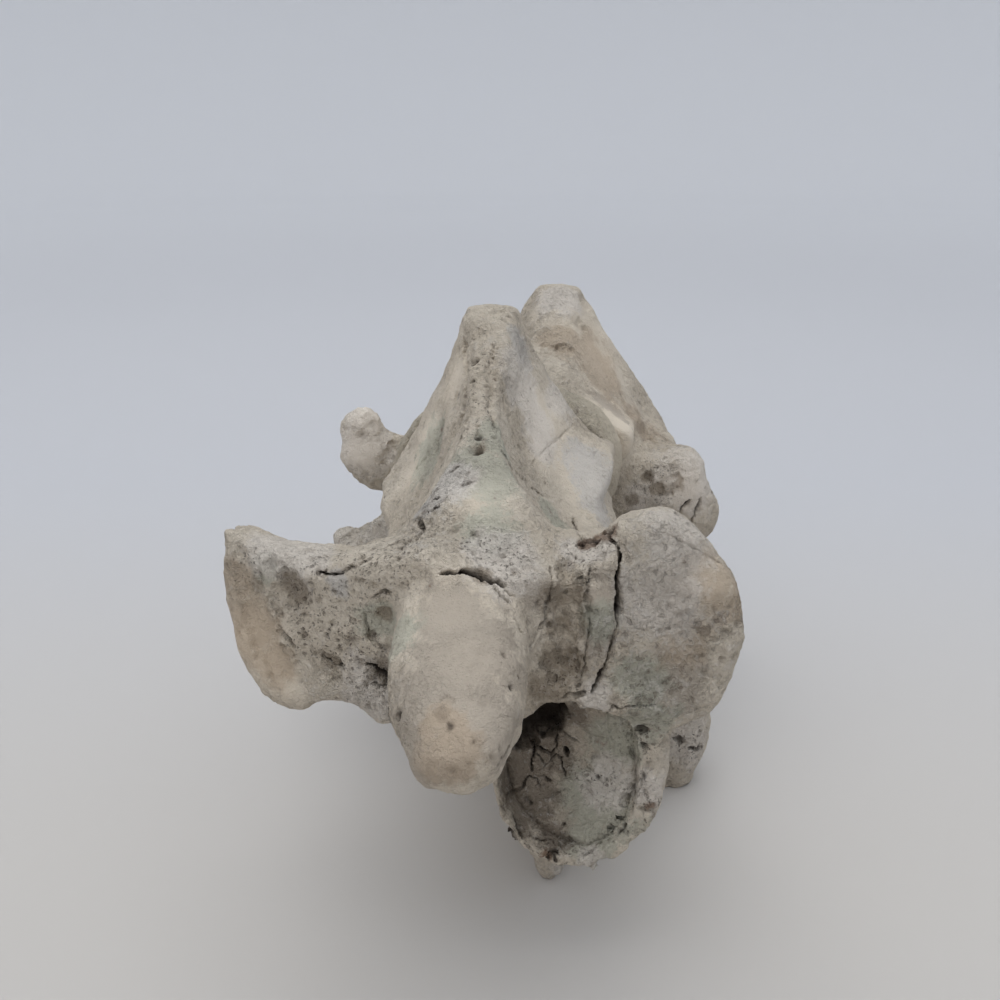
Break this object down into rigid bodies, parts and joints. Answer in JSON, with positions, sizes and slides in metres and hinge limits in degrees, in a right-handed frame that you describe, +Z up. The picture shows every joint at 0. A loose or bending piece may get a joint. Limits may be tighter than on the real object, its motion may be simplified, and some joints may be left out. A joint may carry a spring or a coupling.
{
  "type": "fossil oreodont neck bones",
  "caption": "Fossil oreodont axis bone with the third neck bone cemented behind it by rock, lying belly side up with its peg to the front.",
  "frame": {"origin": "middle of the underside of the whole box, on the surface that it lies on", "axes": "+Z up, to the belly side of the bones; -Y to the peg of the axis, +Y back along the neck; +X to the right as seen from the peg"},
  "size_m": [0.0542, 0.0894, 0.0557],
  "materials": {
    "fossil_bone": "matt, finely porous, worn",
    "rock_matrix": "matt, cracked"
  },
  "bodies": {
    "root": {"axis_centrum": "fossil_bone", "axis_dens": "fossil_bone", "axis_left_facet": "fossil_bone", "axis_right_facet": "fossil_bone", "axis_right_inner_facet": "fossil_bone", "axis_neural_arch": "fossil_bone", "axis_neural_spine": "fossil_bone", "axis_right_process": "fossil_bone", "canal_matrix": "rock_matrix", "joint_matrix": "rock_matrix", "third_centrum": "fossil_bone", "third_left_process": "fossil_bone", "third_right_process": "fossil_bone", "third_neural_arch": "fossil_bone", "third_front_joint": "fossil_bone", "third_canal_matrix": "rock_matrix"}
  },
  "joints": []
}
